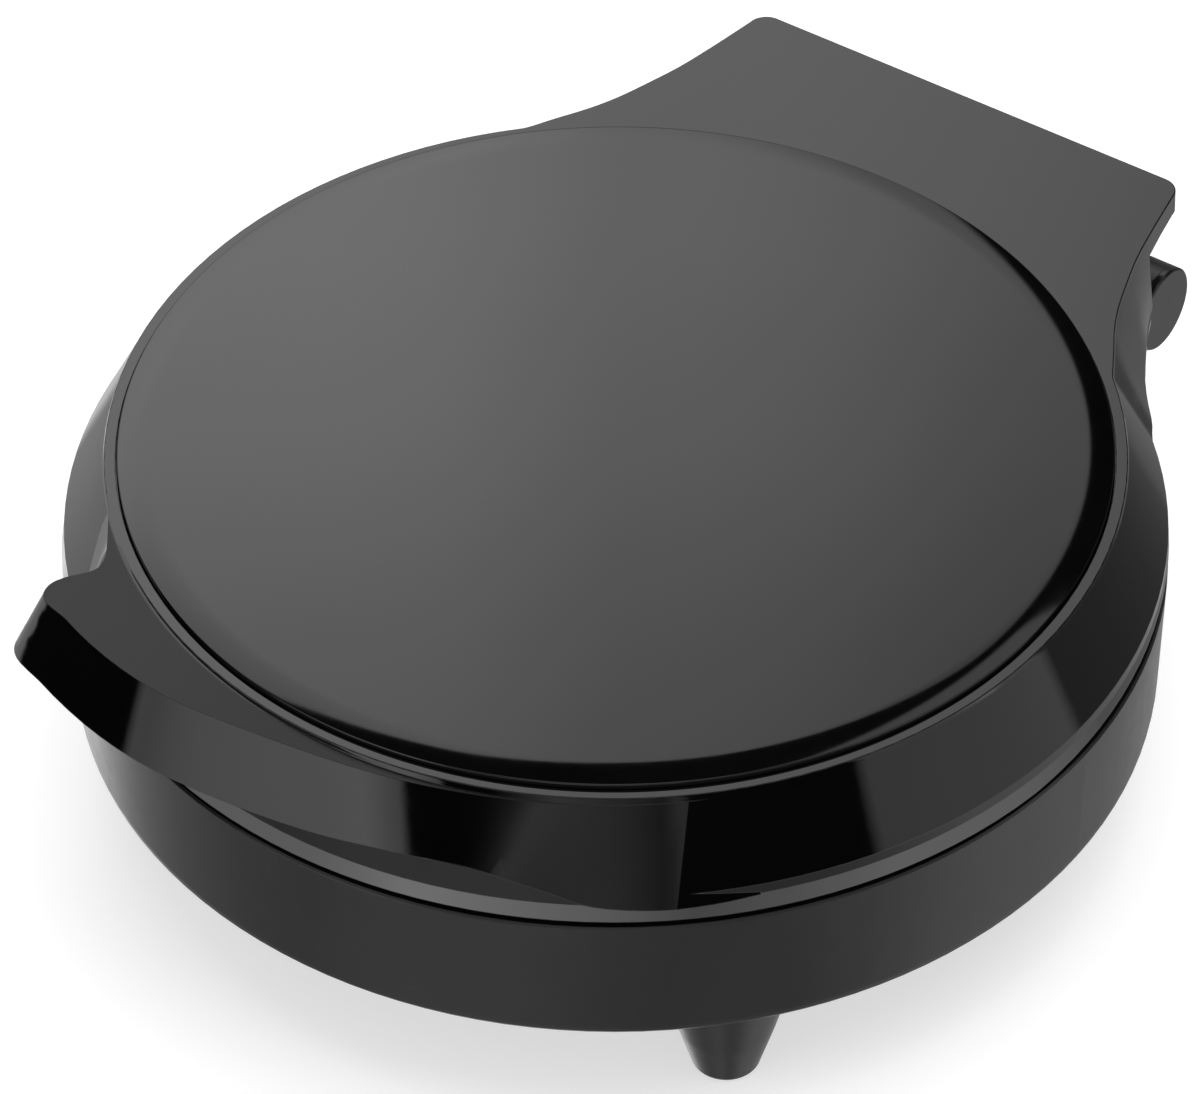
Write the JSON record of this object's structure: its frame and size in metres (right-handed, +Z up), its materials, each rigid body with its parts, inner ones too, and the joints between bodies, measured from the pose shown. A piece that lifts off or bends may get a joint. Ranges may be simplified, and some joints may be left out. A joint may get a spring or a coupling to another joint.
{
  "type": "electric pizza maker",
  "caption": "Round black countertop pizza maker: domed lid on a rear hinge, swept front lip to lift it, dished non-stick plates, drum-shaped base on tapered feet.",
  "frame": {"origin": "centre of the whole object's bounding box, at the floor its feet stand on", "axes": "+Z up, -Y the front with the handle lip, +Y the rear with the hinge, +X the right seen from the front"},
  "size_m": [0.3296, 0.3664, 0.1233],
  "materials": {
    "lid_plastic": "high gloss moulded",
    "panel_lacquer": "smooth satin-gloss black lacquer",
    "base_plastic": "semi-gloss moulded",
    "under_plastic": "fine texture",
    "foot_plastic": "semi-gloss moulded",
    "heat_plastic": "phenolic, matte",
    "terminal_plastic": "matte",
    "nonstick": "cast, non-stick coated",
    "reflector_sheet": "rolled sheet",
    "element_steel": "heat-tinted",
    "bracket_steel": "plain",
    "spring_steel": "oiled",
    "screw_steel": "zinc plated",
    "pin_steel": "ground",
    "pad_rubber": "matte",
    "wire_sleeve": "silicone sleeve"
  },
  "bodies": {
    "base": {"base_shell": "base_plastic", "bottom_cover": "under_plastic", "bottom_cover_screws": "screw_steel", "foot_front_right": "foot_plastic", "foot_front_left": "foot_plastic", "foot_rear_right": "foot_plastic", "foot_rear_left": "foot_plastic", "foot_pads": "pad_rubber", "foot_screws": "screw_steel", "lower_plate": "nonstick", "lower_heating_element": "element_steel", "lower_element_clamps": "bracket_steel", "lower_reflector": "reflector_sheet", "lower_thermal_fuse": "element_steel", "thermostat": "heat_plastic", "lower_plate_screws": "screw_steel", "terminal_block": "terminal_plastic", "base_wiring": "wire_sleeve", "cord_inlet": "pad_rubber", "cord_clamp": "under_plastic", "cord_clamp_screws": "screw_steel", "hinge_pin_left": "pin_steel", "hinge_pin_right": "pin_steel", "hinge_cap_left": "base_plastic", "hinge_cap_right": "base_plastic"},
    "lid": {"lid_shell": "lid_plastic", "lid_top_panel": "panel_lacquer", "panel_retainers": "spring_steel", "plate_surround": "heat_plastic", "surround_screws": "screw_steel", "upper_plate": "nonstick", "upper_heating_element": "element_steel", "upper_element_clamps": "bracket_steel", "upper_reflector": "reflector_sheet", "upper_thermal_fuse": "element_steel", "upper_plate_screws": "screw_steel", "lid_wiring": "wire_sleeve"}
  },
  "joints": [
    {"name": "lid_hinge", "type": "hinge", "parent": "base", "child": "lid", "pos_m": [0, 0.16896, 0.0807], "axis": [-1, 0, 0], "range_deg": [0, 100]}
  ]
}
